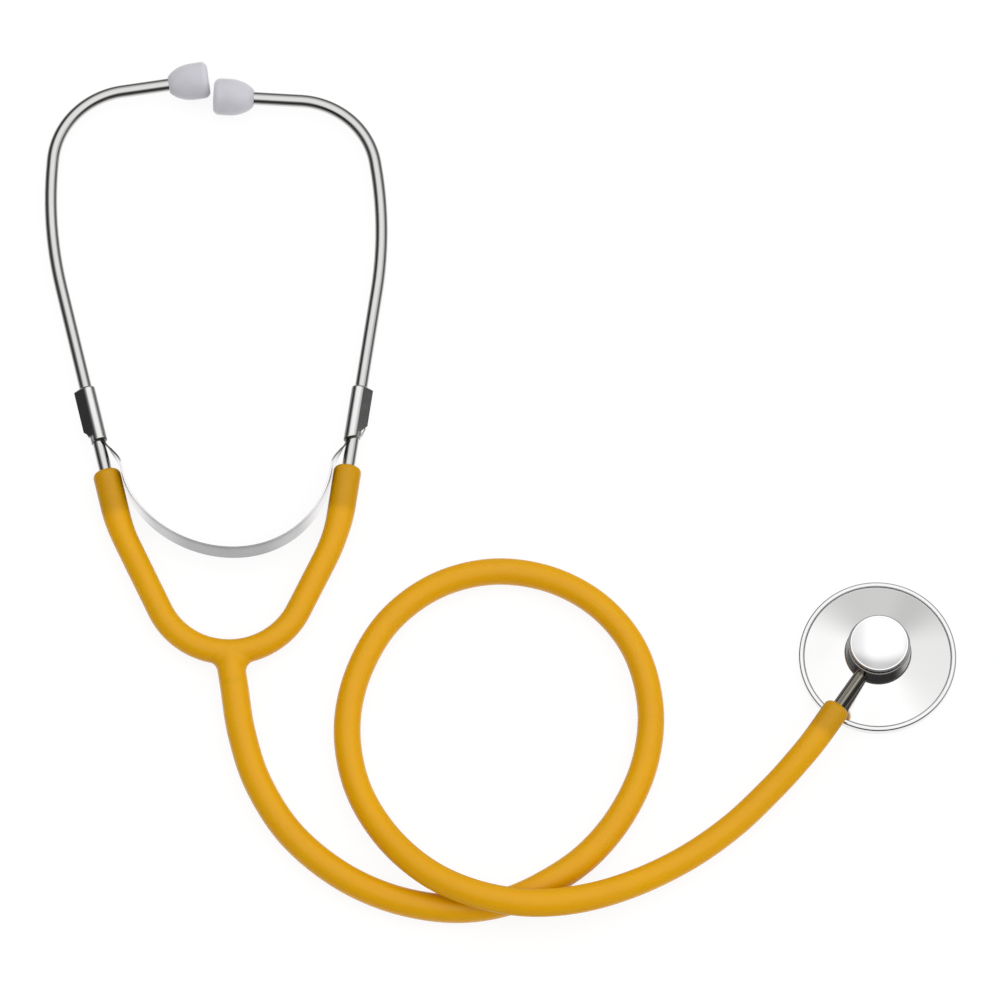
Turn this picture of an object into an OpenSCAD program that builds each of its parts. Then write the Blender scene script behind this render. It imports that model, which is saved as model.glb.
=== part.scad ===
// Toy stethoscope, lying flat on a table the way its tubing settles.
// Millimetres, +Z up, with the table at Z = 0.

/* [Tubing] */
// Outside diameter of the soft tubing
hose_d = 8; // [7:0.1:9]
// Outside diameter of the fork's two arms
arm_d = 7.7; // [7:0.1:8.2]
// Sound bore of the soft tubing
bore_d = 3.6; // [3:0.1:3.8]
// Outside diameter where the tubing is stretched over an ear tube
sleeve_d = 8.4; // [8:0.1:9]
// Length of the stretched end of each arm
sleeve_len = 12.5; // [12:0.1:15]
// Rounding of the tubing's cut ends
end_round = 1.7; // [0.6:0.1:1.8]
// Radius of the fork where the two arms join, at the centre of the tube
fork_r = 23; // [20:0.5:26]
// How far each arm leans outwards above the fork, in degrees
arm_lean = 25.5; // [22:0.5:28]
// Length of each arm from the fork's round to its stretched end
arm_run = 35.5; // [32:0.5:40]
// Radius with which each arm straightens up to its ear tube
flare_r = 58; // [45:1:70]
// Length of the fork's foot, down to the single hose
foot_run = 10.5; // [8:0.5:12]

/* [Ear tubes] */
// Outside diameter of the ear tubes
ear_tube_d = 4; // [3.6:0.1:4.4]
// Wall of the ear tubes
ear_tube_wall = 0.5; // [0.4:0.05:0.7]
// Straight lower length of each ear tube
ear_straight = 70; // [64:0.5:74]
// Radius of the long sweep above the straight
sweep_r = 132; // [110:1:150]
// Turn of the long sweep, in degrees
sweep_turn = 18; // [14:0.5:22]
// Radius of the bend towards the ear
bend_r = 24.5; // [20:0.5:30]
// Turn of the bend towards the ear, in degrees
bend_turn = 77.5; // [70:0.5:78]
// Bare length of tube between the bend and the ear tip
end_run = 14.5; // [12:0.5:15]

/* [Ear tips] */
// Widest diameter of an ear tip
tip_d = 11.3; // [10:0.1:12]
// Length of an ear tip
tip_len = 12.4; // [11:0.1:13]
// Length of the rounded back, up to the widest place
tip_back = 7.7; // [6:0.1:9]
// Wall of the ear tip where the tube goes in
tip_wall = 0.4; // [0.3:0.05:0.8]
// Rounding of the front edge
tip_round = 2; // [1:0.1:2.5]
// How far the ear tube goes into the tip
tip_socket = 7.5; // [5:0.5:9]
// Diameter of the sound hole
tip_hole_d = 2.4; // [1.6:0.1:3]

/* [Leaf spring and clips] */
// Width of the spring strip
spring_w = 9; // [7:0.5:9.5]
// Thickness of the spring strip
spring_t = 0.5; // [0.3:0.05:0.8]
// Height of the ends of the spring's round above the mouths of the arms
spring_rise = 0.8; // [0.5:0.1:2]
// Depth of the spring's round below its ends
spring_drop = 27.1; // [25:0.1:30]
// Turn of its ellipse at which the spring's round begins, in degrees
round_from = 6; // [5:0.5:10]
// Width of the tongue at each end of the strip
tongue_w = 1; // [0.8:0.1:1.6]
// Length of the tongue inside its clip
tongue_in = 10; // [6:0.5:13]
// Place of the tongue round the ear tube, in degrees from its top towards the other tube
tongue_lean = 30; // [20:1:45]
// Distance of the left clip from the lower end of its ear tube
left_clip_from = 18; // [17:0.1:22]
// Distance of the right clip from the lower end of its ear tube
right_clip_from = 20.2; // [19:0.1:24]
// Length of the clips along the ear tubes
clip_len = 18; // [15:0.5:20]
// Thickness of the clips' sheet metal
clip_sheet = 0.4; // [0.3:0.05:0.6]
// Radius of the clips' bulge over the spring's tongue
bulge_r = 2.25; // [2.1:0.05:2.5]
// Distance of the clips' folded lip from their lower end
lip_from = 2.2; // [1:0.1:4]
// Width of the clips' folded lip, from where it leaves the wrap
lip_w = 2.9; // [2.5:0.1:4]
// Slope of the clips' folded lip, in degrees
lip_slope = 38; // [25:1:40]
// Corner cut off the lip's lower end
lip_cut = 2; // [1:0.1:2.4]
// Thickness of the prong that stays beside the cut corner
prong_d = 0.5; // [0.4:0.05:0.7]
// Length of the prong past the lip
prong_len = 2.6; // [1:0.1:3]
// Turn of the prong towards the ear tube, in degrees
prong_turn = 20; // [10:1:30]

/* [Chest piece] */
// Outside diameter of the ring that holds the diaphragm
ring_d = 47.5; // [44:0.5:52]
// Height of the ring
ring_h = 3.2; // [2.6:0.1:4]
// Wall of the ring
ring_wall = 1.5; // [1.2:0.1:2]
// Width of the lip under the diaphragm, from the ring's inside
ring_lip_w = 2.6; // [1.5:0.1:4]
// Thickness of the lip under the diaphragm
ring_lip_t = 0.8; // [0.6:0.1:1.2]
// Rounding of the ring's outer edges
ring_round = 0.7; // [0.4:0.1:0.9]
// Thickness of the diaphragm
diaphragm_t = 0.4; // [0.25:0.05:0.6]
// Thickness of the body at its edge
body_edge_t = 1.4; // [1:0.1:2]
// Height of the body's cone between its edge and the hub
cone_rise = 3.6; // [2.5:0.1:4.5]
// Diameter of the hub at its foot
hub_foot_d = 20.4; // [18:0.1:22]
// Diameter of the hub at its top
hub_top_d = 18.8; // [17.5:0.1:20]
// Height of the hub above the cone
hub_rise = 7.2; // [6.5:0.1:9]
// Depth of the sound chamber under the body
chamber_depth = 2.4; // [1.5:0.1:3]
// Diameter of the domed cap on the hub
cap_d = 17.8; // [16:0.1:18]
// Height of the cap's straight edge
cap_edge_t = 0.9; // [0.5:0.1:1.5]
// Height of the cap's dome
cap_dome = 1.4; // [0.8:0.1:2]
// Height of the groove under the cap
groove_h = 0.7; // [0.4:0.1:1.2]
// Depth of the groove under the cap
groove_in = 0.6; // [0.3:0.1:1]
// Diameter of the plug that holds the cap
plug_d = 11; // [8:0.5:13]
// Length of the plug that holds the cap
plug_len = 2; // [1:0.1:2.2]
// Outside diameter of the stem
stem_d = 4; // [3.6:0.1:4.4]
// Bore of the stem
stem_bore_d = 2.5; // [2:0.1:2.8]
// Height of the stem's axis above the body's cone, at the hub
stem_up = 2.4; // [2.2:0.1:3]
// Depth of the stem's seat in the hub
stem_seat = 5; // [3:0.5:6]
// Length of stem inside the hose
stem_in = 10.5; // [8:0.5:11]
// Height of the stem's barbs
barb_h = 0.25; // [0.1:0.05:0.3]
// Distance of the hose's end from the hub's axis
hose_stop = 21.5; // [20:0.5:23]

/* [Fits] */
// Radial clearance where one metal piece slips over another
slip = 0.05; // [0.02:0.01:0.1]
// Radial clearance of the stem's barbs in the hose
hose_slip = 0.12; // [0.1:0.01:0.2]
// Gap between the spring strip and the arms
strip_gap = 0.35; // [0.3:0.05:0.8]

/* [Layout] */
// Place of the fork's joint, to the right of the middle
fork_x = -80.5; // [-83:0.5:-78]
// Place of the fork's joint, above the middle
fork_y = -82; // [-84.5:0.5:-79.5]
// Lean of the fork's foot to the right, in degrees
foot_lean = 9; // [4:1:12]
// Outward lean of the left ear tube, in degrees
left_splay = 13.7; // [10:0.1:16]
// Outward lean of the right ear tube, in degrees
right_splay = 8.3; // [6:0.1:12]
// Depth of the left ear tube in its arm
left_in = 8.5; // [7:0.5:11.5]
// Depth of the right ear tube in its arm
right_in = 11.5; // [8:0.5:11.5]
// How far the spring hangs lower on its right, as it lies
spring_skew = 2.4; // [0:0.1:3]
// Place of the chest piece, to the right of the middle
chest_x = 114.5; // [112:0.5:118]
// Place of the chest piece, above the middle
chest_y = -83; // [-86:0.5:-80]
// Direction of the stem, in degrees from the right
stem_turn = 235.5; // [230:0.5:240]

/* [Hidden] */
$fn = 64;
// Which side of its heading a tube turns to: the left ear tube turns right, the right one left
LEFT = -1;
RIGHT = 1;
// Extra length of a cut past the face that it opens
past = 1;
end_gap = 0.3;
arc_steps = 8;

hose_r = hose_d / 2;
arm_r = arm_d / 2;
bore_r = bore_d / 2;
sleeve_r = sleeve_d / 2;
ear_tube_r = ear_tube_d / 2;
tip_r = tip_d / 2;
binaural_z = max(hose_r, sleeve_r);

// Chest piece: heights above the table and radii from the hub's axis
diaphragm_z = ring_lip_t;
body_z = diaphragm_z + diaphragm_t;
cone_z = body_z + body_edge_t;
hub_z = cone_z + cone_rise;
hub_top_z = hub_z + hub_rise;
cap_z = hub_top_z + groove_h;
stem_z = hub_z + stem_up;
ring_r = ring_d / 2;
ring_in_r = ring_r - ring_wall;
body_r = ring_in_r - slip;
lip_r = ring_in_r - ring_lip_w;
chamber_r = lip_r - slip;
hub_foot_r = hub_foot_d / 2;
hub_top_r = hub_top_d / 2;
hub_foot_round = 0.8;
cap_r = cap_d / 2;
plug_r = plug_d / 2;
stem_r = stem_d / 2;
stem_bore_r = stem_bore_d / 2;
stem_inner_end = hub_foot_r - stem_seat;
hose_end_bore_r = stem_r + barb_h + hose_slip;
barb_len = 2.2;
barb_pitch = 3.4;

// A place on a tube's centre line is [point, heading in degrees].
// A move is [straight run, bend radius, turn in degrees, left positive].
function ahead(h) = [cos(h), sin(h)];
function leftward(h) = [-sin(h), cos(h)];
function after_run(at, run) = [at[0] + run * ahead(at[1]), at[1]];
function after_bend(at, r, turn) =
    let (reach = sign(turn) * r)
    [at[0] + reach * (leftward(at[1]) - leftward(at[1] + turn)), at[1] + turn];
function after_move(at, move) =
    move[2] == 0 ? after_run(at, move[0]) : after_bend(at, move[1], move[2]);
function after_moves(at, moves, count) =
    count == 0 ? at : after_move(after_moves(at, moves, count - 1), moves[count - 1]);
function arc_points(centre, r, from, to) =
    [for (i = [0:arc_steps]) let (a = from + (to - from) * i / arc_steps)
        centre + r * [cos(a), sin(a)]];
function smooth(t) = t * t * (3 - 2 * t);
function mix(a, b, t) = a + (b - a) * t;

// Arms of the fork
function splay(side) = side == LEFT ? left_splay : right_splay;
function depth_in_arm(side) = side == LEFT ? left_in : right_in;
function clip_from(side) = side == LEFT ? left_clip_from : right_clip_from;
fork_at = [fork_x, fork_y];
fork_turn = 90 - arm_lean;
function arm_start(side) = after_bend([fork_at, side == LEFT ? 180 : 0], fork_r, side * fork_turn);
function flare_turn(side) = arm_lean - splay(side);
function flare_len(side) = flare_r * flare_turn(side) * PI / 180;
function arm_moves(side) = [
    [arm_run - flare_len(side), 0, 0],
    [0, flare_r, side * flare_turn(side)]
];
function sleeve_at(side) = after_moves(arm_start(side), arm_moves(side), 2);
function mouth_at(side) = after_run(sleeve_at(side), sleeve_len);
foot_at = [fork_at, 270 + foot_lean];
foot_end = after_run(foot_at, foot_run);

// Short straight between one curve of a tube and the next
join_run = 1;
lap = 0.4;
hair = 0.02;

// Ear tubes, each in its own frame: the lower end at the origin, heading along +X
function ear_moves(side) = [
    [ear_straight, 0, 0],
    [0, sweep_r, side * sweep_turn],
    [join_run, 0, 0],
    [0, bend_r, side * bend_turn],
    [end_run + tip_socket, 0, 0]
];
function tip_at(side) = after_run(after_moves([[0, 0], 0], ear_moves(side), 4), end_run);
tip_wide_at = after_run(tip_at(RIGHT), tip_back);
// The tubes are turned in the arms until the ear tips lie on the table
ear_roll = asin((tip_r - binaural_z) / tip_wide_at[0][1]);
clip_wrap_r = ear_tube_r + slip + clip_sheet;
lip_t = 2 * clip_sheet;

// Leaf spring: its tongues lie on the ear tubes under the clips
tongue_angle = tongue_lean - ear_roll;
tongue_r = ear_tube_r + slip + spring_t / 2;
spring_z = max(binaural_z, spring_w / 2);
// The strip leaves its clip sharply, turns upright in the first half of its S-bend and widens later
sbend_top = 0.3;
sbend_foot = 3;
upright_by = 0.5;
widen_from = 0.3;
sbend_steps = 12;
round_steps = 14;
function inward(side) = side * leftward(mouth_at(side)[1]);
// Point of the ear tube's axis at a distance from the tube's lower end
function axis_point(side, along) =
    after_run(mouth_at(side), along - depth_in_arm(side))[0];
function tongue_point(side, along) =
    axis_point(side, along) + tongue_r * sin(tongue_angle) * inward(side);
tongue_z = binaural_z + tongue_r * cos(tongue_angle);
function arm_inside_x(side) = (mouth_at(side)[0] + sleeve_r * inward(side))[0];
function round_end_x(side) = arm_inside_x(side) - side * (strip_gap + spring_t / 2);
spring_x = (round_end_x(LEFT) + round_end_x(RIGHT)) / 2;
spring_r = (round_end_x(RIGHT) - round_end_x(LEFT)) / 2 / cos(round_from);
spring_depth = spring_drop / (1 - sin(round_from));
spring_y = (mouth_at(LEFT)[0][1] + mouth_at(RIGHT)[0][1]) / 2 + spring_rise;
function bezier(a, b, c, d, t) =
    (1 - t) ^ 3 * a + 3 * (1 - t) ^ 2 * t * b + 3 * (1 - t) * t ^ 2 * c + t ^ 3 * d;
// A station of the strip is [x, y, z, twist from upright, half width]
function tongue_station(side, along) =
    let (p = tongue_point(side, along))
    [p[0], p[1], tongue_z, 90 - tongue_angle, tongue_w / 2];
function round_point(side, t) =
    let (a = mix(side == LEFT ? 180 + round_from : 360 - round_from, 270, t))
    [spring_x + spring_r * cos(a),
        spring_y + (sin(a) + sin(round_from)) * (spring_depth + spring_skew * cos(a))];
function round_station(side, t) =
    let (p = round_point(side, t))
    [p[0], p[1], spring_z, 0, spring_w / 2];
// Direction in which an end of the round points
function round_up(side) = unit([
    side * spring_r * sin(round_from),
    cos(round_from) * (spring_depth + side * spring_skew * cos(round_from))
]);
function ramp(t, from, to) = smooth(max(0, min(1, (t - from) / (to - from))));
function sbend_station(side, t) =
    let (
        top = tongue_point(side, clip_from(side)),
        foot = round_point(side, 0),
        p = bezier(
            top, top - sbend_top * ahead(mouth_at(side)[1]),
            foot + sbend_foot * round_up(side), foot, t
        )
    )
    [p[0], p[1], mix(tongue_z, spring_z, smooth(t)),
        (90 - tongue_angle) * (1 - ramp(t, 0, upright_by)),
        mix(tongue_w, spring_w, ramp(t, widen_from, 1)) / 2];
function spring_half(side) = concat(
    [tongue_station(side, clip_from(side) + tongue_in)],
    [for (i = [0:sbend_steps]) sbend_station(side, i / sbend_steps)],
    [for (i = [1:round_steps - 1]) round_station(side, i / round_steps)]
);
function reversed(list) = [for (i = [len(list) - 1:-1:0]) list[i]];
spring_stations = concat(
    spring_half(LEFT), [round_station(LEFT, 1)], reversed(spring_half(RIGHT))
);

// Hose: its route on the table, from the fork's foot to the stem
function stem_point(out) =
    [chest_x + out * cos(stem_turn), chest_y + out * sin(stem_turn), stem_z];
hose_straight = 12;
hose_rest_z = hose_r + 0.05;
// Height above rest is in diameters of the hose
hose_points = [
    [-76.5, -107.5, 0], [-71.5, -123.5, 0], [-61.5, -139, 0], [-47.5, -151.5, 0], [-31.5, -159, 0],
    [-14.5, -162.5, 0], [0.5, -161, 0], [13.5, -155.5, 0], [26.5, -146, 0], [37, -133, 0],
    [44, -117, 0], [46, -99.5, 0], [41.5, -81.5, 0], [31, -67.5, 0], [16, -58.5, 0],
    [-1.5, -56, 0], [-18.5, -61, 0], [-32.5, -72.5, 0], [-41.5, -88.5, 0], [-45, -106, 0.01],
    [-42, -124, 0.06], [-33.5, -140, 0.38], [-21.5, -152.5, 0.81], [-7.5, -160, 1.07],
    [8.5, -163, 1], [24.5, -161, 0.63], [40.5, -155, 0.22], [56.5, -147, 0.04], [71, -137.5, 0.04],
    [83.5, -126, 0.22], [90.5, -117.5, 0.47]
];
hose_route = concat(
    [[foot_end[0][0], foot_end[0][1], binaural_z]],
    [for (p = hose_points) [p[0], p[1], hose_rest_z + p[2] * hose_d]],
    [stem_point(hose_stop + hose_straight), stem_point(hose_stop)]
);
hose_sides = 12;
hose_steps = 2;
gap_steps = 6;
function route_point(i) =
    let (last = len(hose_route) - 1)
    i < 0 ? 2 * hose_route[0] - hose_route[1]
    : i > last ? 2 * hose_route[last] - hose_route[last - 1]
    : hose_route[i];
function curve_point(i, t) =
    let (
        a = route_point(i - 1), b = route_point(i),
        c = route_point(i + 1), d = route_point(i + 2)
    )
    b + t / 2 * (c - a + t * (2 * a - 5 * b + 4 * c - d + t * (3 * (b - c) + d - a)));
function curve(steps) = concat(
    [for (i = [0:len(hose_route) - 2], k = [0:steps - 1]) curve_point(i, k / steps)],
    [hose_route[len(hose_route) - 1]]
);
hose_centres = curve(hose_steps);
hose_rings = len(hose_centres);
foot_ahead = ahead(foot_end[1]);
stem_ahead = -ahead(stem_turn);
function unit(v) = v / norm(v);
function hose_ahead(i) =
    i == 0 ? [foot_ahead[0], foot_ahead[1], 0]
    : i >= hose_rings - 2 ? [stem_ahead[0], stem_ahead[1], 0]
    : unit(hose_centres[i + 1] - hose_centres[i - 1]);
// The bore is stretched where the stem is pushed in
function hose_bore_r(i) = i >= hose_rings - 1 - hose_steps ? hose_end_bore_r : bore_r;
function hose_ring(i, r) =
    let (
        forward = hose_ahead(i),
        across = unit(cross([0, 0, 1], forward)),
        up = cross(forward, across)
    )
    [for (k = [0:hose_sides - 1]) let (a = 360 * k / hose_sides)
        hose_centres[i] + r * (cos(a) * across + sin(a) * up)];
// Least distance between two stretches of the hose that are not neighbours
gap_curve = curve(gap_steps);
apart = 4 * gap_steps;
hose_gap = min([for (i = [0:len(gap_curve) - 1 - apart])
    min([for (k = [i + apart:len(gap_curve) - 1]) norm(gap_curve[i] - gap_curve[k])])
]) - hose_d;
hose_len = sum_steps(gap_curve, len(gap_curve) - 1);
function sum_steps(p, i) = i == 0 ? 0 : norm(p[i] - p[i - 1]) + sum_steps(p, i - 1);
echo(hose_gap = hose_gap, hose_len = hose_len);

// Child's +Z runs along the tube from a place on its centre line
module along(at) {
    translate([at[0][0], at[0][1], 0]) rotate([0, 0, at[1]]) rotate([0, 90, 0]) children();
}

module annulus(r, inner_r) {
    difference() {
        circle(r = r);
        circle(r = inner_r);
    }
}

// Child's outline is swept round a bend of the tube
module bend(at, r, turn) {
    centre = at[0] + sign(turn) * r * leftward(at[1]);
    first = turn > 0 ? at[1] - 90 : at[1] + 90 + turn;
    translate([centre[0], centre[1], 0]) rotate([0, 0, first])
        rotate_extrude(angle = abs(turn)) translate([r, 0]) children();
}

// Hollow tube through a list of moves. Its straights lap over its bends, whose wall is a hair
// thinner on both faces, so that the lengths join without having to match face to face.
module tube(at, moves, r, inner_r, first_lap) {
    last = len(moves) - 1;
    for (i = [0:last]) {
        here = after_moves(at, moves, i);
        before = i == 0 ? first_lap : lap;
        after = i == last ? 0 : lap;
        if (moves[i][2] == 0)
            along(after_run(here, -before))
                linear_extrude(height = before + moves[i][0] + after) annulus(r, inner_r);
        else
            bend(here, moves[i][1], moves[i][2]) annulus(r - hair, inner_r + hair);
    }
}

// Frame of an ear tube as it lies in its arm
module ear_place(side) {
    mouth = mouth_at(side);
    translate([mouth[0][0], mouth[0][1], binaural_z]) rotate([0, 0, mouth[1]])
        translate([-depth_in_arm(side), 0, 0]) rotate([side * ear_roll, 0, 0]) children();
}

module ear_tube(side) {
    color("silver") ear_place(side)
        tube([[0, 0], 0], ear_moves(side), ear_tube_r, ear_tube_r - ear_tube_wall, 0);
}
module left_ear_tube() { ear_tube(LEFT); }
module right_ear_tube() { ear_tube(RIGHT); }

// Rounded back, widest in front of the middle, nearly flat front with a round edge
module ear_tip(side) {
    back_r = ear_tube_r + slip + tip_wall;
    back_len = tip_back / sqrt(1 - (back_r / tip_r) ^ 2);
    back_from = acos(-tip_back / back_len);
    back = [for (i = [0:arc_steps]) let (a = mix(back_from, 90, i / arc_steps))
        [tip_r * sin(a), tip_back + back_len * cos(a)]];
    front = arc_points([tip_r - tip_round, tip_len - tip_round], tip_round, 0, 90);
    color("gainsboro") ear_place(side) along(tip_at(side)) difference() {
        rotate_extrude() polygon(concat([[0, 0]], back, front, [[0, tip_len]]));
        translate([0, 0, -past]) cylinder(r = ear_tube_r + slip, h = past + tip_socket + end_gap);
        cylinder(r = tip_hole_d / 2, h = tip_len + past);
    }
}
module left_ear_tip() { ear_tip(LEFT); }
module right_ear_tip() { ear_tip(RIGHT); }

// Folded lip of a clip, with its lower corner cut off and a prong left beside the cut
module lip() {
    length = clip_len - lip_from;
    edge_w = lip_w - lip_t / 2;
    prong_seat = lip_t;
    difference() {
        union() {
            cube([length, edge_w, lip_t]);
            translate([0, 0, lip_t / 2]) along([[0, edge_w], 0]) cylinder(d = lip_t, h = length);
        }
        translate([0, lip_w - lip_cut, -lip_t]) rotate([0, 0, 45])
            translate([-2 * lip_cut, -lip_cut, 0]) cube([2 * lip_cut, 4 * lip_cut, 3 * lip_t]);
    }
    translate([0, 0, lip_t / 2]) along([[lip_cut + prong_seat, edge_w], 180 + prong_turn])
        cylinder(d = prong_d, h = prong_seat + prong_len);
}

// Sheet-metal wrap round the ear tube, bulging over the spring's tongue, with a folded lip outside
module clip(side) {
    roof = ear_tube_r + spring_t + 3 * slip;
    pocket_w = tongue_w + 4 * slip;
    color("silver") ear_place(side) translate([clip_from(side), 0, 0])
        mirror([0, side == RIGHT ? 1 : 0, 0]) difference() {
            union() {
                along([[0, 0], 0]) cylinder(r = clip_wrap_r, h = clip_len);
                rotate([tongue_lean, 0, 0]) translate([0, 0, roof + clip_sheet - bulge_r])
                    along([[0, 0], 0]) cylinder(r = bulge_r, h = clip_len);
                rotate([-lip_slope, 0, 0]) translate([lip_from, 0, clip_wrap_r - lip_t]) lip();
            }
            along([[-past, 0], 0]) cylinder(r = ear_tube_r + slip, h = clip_len + 2 * past);
            rotate([tongue_lean, 0, 0]) translate([-past, -pocket_w / 2, 0])
                cube([past + tongue_in + end_gap, pocket_w, roof]);
        }
}
module left_clip() { clip(LEFT); }
module right_clip() { clip(RIGHT); }

// Flat strip through its stations, four corners to a ring
module leaf_spring() {
    s = spring_stations;
    last = len(s) - 1;
    function plan(i) = [s[i][0], s[i][1], 0];
    function heading(i) = unit(plan(min(i + 1, last)) - plan(max(i - 1, 0)));
    function ring(i) =
        let (
            forward = heading(i),
            outward = [forward[1], -forward[0], 0],
            wide = s[i][4] * (cos(s[i][3]) * [0, 0, 1] + sin(s[i][3]) * outward),
            thick = spring_t / 2 * (cos(s[i][3]) * outward - sin(s[i][3]) * [0, 0, 1]),
            centre = [s[i][0], s[i][1], s[i][2]]
        )
        [centre - wide - thick, centre - wide + thick, centre + wide + thick, centre + wide - thick];
    sides = [for (i = [0:last - 1], k = [0:3]) let (
            a = 4 * i + k, b = 4 * i + (k + 1) % 4
        ) each [[a, b, b + 4], [a, b + 4, a + 4]]];
    ends = [[0, 2, 1], [0, 3, 2], 4 * last * [1, 1, 1] + [0, 1, 2], 4 * last * [1, 1, 1] + [0, 2, 3]];
    color("lightgray")
        polyhedron([for (i = [0:last]) each ring(i)], concat(sides, ends));
}

// Stretched end of an arm: a swollen sleeve with a rounded mouth, bored for its ear tube
module sleeve(side) {
    stop = sleeve_len - depth_in_arm(side) - end_gap;
    socket_r = ear_tube_r + slip;
    mouth = arc_points([sleeve_r - end_round, sleeve_len - end_round], end_round, 0, 90);
    along(sleeve_at(side)) rotate_extrude() polygon(concat(
        [[bore_r, -lap], [arm_r, -lap], [arm_r, join_run], [sleeve_r, sleeve_len / 3]], mouth,
        [[socket_r, sleeve_len], [socket_r, stop], [bore_r, stop]]
    ));
}

// Two arms and the foot, moulded in one with the sound bore through them
module y_fork() {
    round_at = arm_start(LEFT);
    turned = [round_at[0], round_at[1] + 180];
    color("goldenrod") translate([0, 0, binaural_z]) difference() {
        union() {
            bend(turned, fork_r, 2 * fork_turn) annulus(arm_r - hair, bore_r + hair);
            for (side = [LEFT, RIGHT]) {
                tube(arm_start(side), arm_moves(side), arm_r, bore_r, lap);
                sleeve(side);
            }
            difference() {
                along(foot_at) cylinder(r = hose_r, h = foot_run);
                bend(turned, fork_r, 2 * fork_turn) circle(r = (arm_r + bore_r) / 2);
            }
        }
        along(foot_at) cylinder(r = bore_r, h = foot_run + past);
    }
}

// Soft tube swept along its route, hollow from end to end
module hose() {
    n = hose_sides;
    last = hose_rings - 1;
    points = [for (i = [0:last]) each concat(hose_ring(i, hose_r), hose_ring(i, hose_bore_r(i)))];
    // Corner k of ring i, on the outside (0) or in the bore (1)
    function at(i, k, inside) = (2 * i + inside) * n + k % n;
    skin = [for (i = [0:last - 1], k = [0:n - 1]) each [
        [at(i, k, 0), at(i + 1, k, 0), at(i + 1, k + 1, 0)],
        [at(i, k, 0), at(i + 1, k + 1, 0), at(i, k + 1, 0)],
        [at(i, k, 1), at(i + 1, k + 1, 1), at(i + 1, k, 1)],
        [at(i, k, 1), at(i, k + 1, 1), at(i + 1, k + 1, 1)]
    ]];
    ends = [for (k = [0:n - 1]) each [
        [at(0, k, 0), at(0, k + 1, 0), at(0, k + 1, 1)],
        [at(0, k, 0), at(0, k + 1, 1), at(0, k, 1)],
        [at(last, k, 0), at(last, k + 1, 1), at(last, k + 1, 0)],
        [at(last, k, 0), at(last, k, 1), at(last, k + 1, 1)]
    ]];
    color("goldenrod") polyhedron(points, concat(skin, ends));
}

module chest_place() {
    translate([chest_x, chest_y, 0]) children();
}
// Child's +Z runs along the stem, away from the hub's axis
module stem_place() {
    translate([chest_x, chest_y, stem_z]) rotate([0, 0, stem_turn]) rotate([0, 90, 0]) children();
}

// Tube from the hub into the hose, with two barbs that hold it there
module stem() {
    stem_end = hose_stop + stem_in;
    color("silver") stem_place() difference() {
        union() {
            translate([0, 0, stem_inner_end]) cylinder(r = stem_r, h = stem_end - stem_inner_end);
            for (i = [0, 1])
                translate([0, 0, stem_end - barb_len - i * barb_pitch])
                    cylinder(r1 = stem_r + barb_h, r2 = stem_r, h = barb_len);
        }
        cylinder(r = stem_bore_r, h = stem_end + past);
    }
}

// Shallow cone with a hub on top and the sound chamber underneath
module chest_body() {
    chamber_top = body_z + chamber_depth;
    foot = arc_points([hub_foot_r + hub_foot_round, hub_z + hub_foot_round], hub_foot_round, 270, 180);
    color("silver") difference() {
        chest_place() rotate_extrude() polygon(concat(
            [[0, body_z], [body_r, body_z], [body_r, cone_z]], foot,
            [[hub_top_r, hub_top_z], [0, hub_top_z]]
        ));
        chest_place() rotate_extrude() polygon([
            [0, body_z - past], [chamber_r, body_z - past], [chamber_r, body_z],
            [stem_bore_r, chamber_top], [stem_bore_r, stem_z], [0, stem_z]
        ]);
        chest_place() translate([0, 0, hub_top_z - plug_len - slip])
            cylinder(r = plug_r + slip, h = plug_len + past);
        stem_place() cylinder(r = stem_bore_r, h = stem_inner_end);
        stem_place() translate([0, 0, stem_inner_end]) cylinder(r = stem_r + slip, h = 2 * stem_seat);
    }
}

// Domed cap, pressed into the hub by its plug
module hub_cap() {
    neck_r = cap_r - groove_in;
    edge_z = cap_z + cap_edge_t;
    dome_r = (cap_r ^ 2 + cap_dome ^ 2) / (2 * cap_dome);
    dome_from = acos(cap_r / dome_r);
    dome = arc_points([0, edge_z + cap_dome - dome_r], dome_r, dome_from, 90);
    color("silver") chest_place() rotate_extrude() polygon(concat(
        [
            [0, hub_top_z - plug_len], [plug_r, hub_top_z - plug_len], [plug_r, hub_top_z],
            [neck_r, hub_top_z], [neck_r, cap_z], [cap_r, cap_z]
        ],
        dome
    ));
}

module diaphragm() {
    color("white") chest_place() translate([0, 0, diaphragm_z])
        cylinder(r = ring_in_r - slip, h = diaphragm_t);
}

// Ring that clamps the diaphragm against the body
module diaphragm_ring() {
    low = arc_points([ring_r - ring_round, ring_round], ring_round, 270, 360);
    high = arc_points([ring_r - ring_round, ring_h - ring_round], ring_round, 0, 90);
    color("silver") chest_place() rotate_extrude() polygon(concat(
        [[lip_r, 0]], low, high,
        [[ring_in_r, ring_h], [ring_in_r, ring_lip_t], [lip_r, ring_lip_t]]
    ));
}

left_ear_tip();
right_ear_tip();
left_ear_tube();
right_ear_tube();
left_clip();
right_clip();
leaf_spring();
y_fork();
hose();
stem();
chest_body();
hub_cap();
diaphragm();
diaphragm_ring();
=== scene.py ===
"""Toy stethoscope on a pale table: soft yellow tubing, bright ear tubes, leaf spring and chest piece.

Sizes are in millimetres, as on the drawing, and become metres where a mesh is made.
"""

import math

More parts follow.
